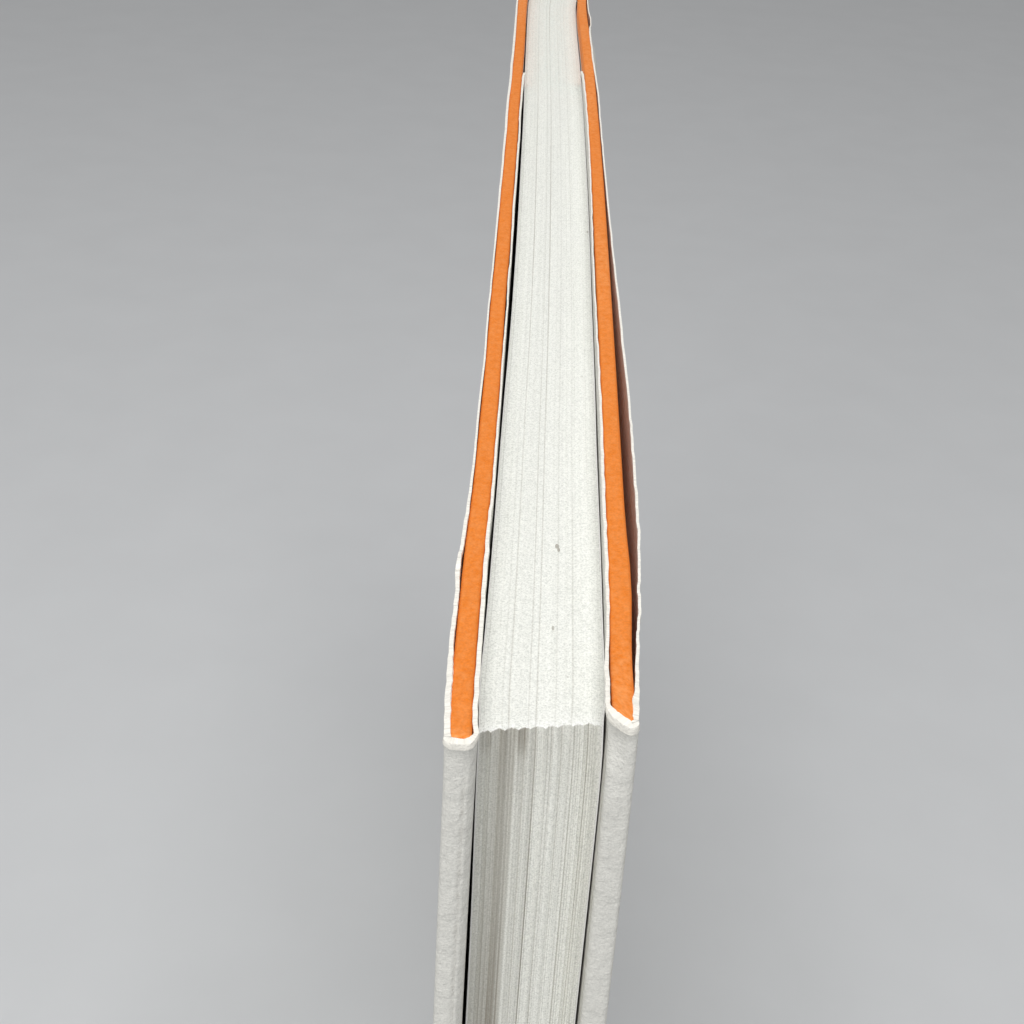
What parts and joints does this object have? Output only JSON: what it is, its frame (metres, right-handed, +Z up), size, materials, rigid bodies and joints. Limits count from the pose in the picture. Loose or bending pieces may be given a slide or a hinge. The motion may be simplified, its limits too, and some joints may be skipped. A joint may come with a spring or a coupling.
{
  "type": "hardcover book",
  "caption": "Large landscape hardcover book in a plain white dust jacket over an orange case, standing upright on its tail edge; both covers open on hinges at the spine joints.",
  "frame": {"origin": "middle of the closed book's footprint, on the surface that it stands on", "axes": "+Z up from tail to head, +Y from the fore-edge towards the spine, +X through the thickness from the front cover to the back cover"},
  "size_m": [0.0184, 0.3158, 0.2604],
  "materials": {
    "page_paper": "matte",
    "endpaper": "matte",
    "greyboard": "matte",
    "orange_covering": "matte",
    "jacket_paper": "matte",
    "mull_cloth": "matte",
    "lining_paper": "matte",
    "headband_cloth": "matte"
  },
  "bodies": {
    "book_block": {"text_block": "page_paper", "front_flyleaf": "endpaper", "back_flyleaf": "endpaper", "spine_mull": "mull_cloth", "spine_lining": "lining_paper", "headband": "headband_cloth", "tailband": "headband_cloth", "spine_inlay": "greyboard", "spine_covering": "orange_covering", "jacket_spine": "jacket_paper"},
    "front_cover": {"front_board": "greyboard", "front_covering": "orange_covering", "front_pastedown": "endpaper", "front_jacket_wrap": "jacket_paper"},
    "back_cover": {"back_board": "greyboard", "back_covering": "orange_covering", "back_pastedown": "endpaper", "back_jacket_wrap": "jacket_paper"}
  },
  "joints": [
    {"name": "front_cover_joint", "type": "hinge", "parent": "book_block", "child": "front_cover", "pos_m": [-0.0093, 0.15008, 0], "axis": [0, 0, -1], "range_deg": [0, 178]},
    {"name": "back_cover_joint", "type": "hinge", "parent": "book_block", "child": "back_cover", "pos_m": [0.0093, 0.15364, 0], "axis": [0, 0, 1], "range_deg": [0, 178]}
  ]
}
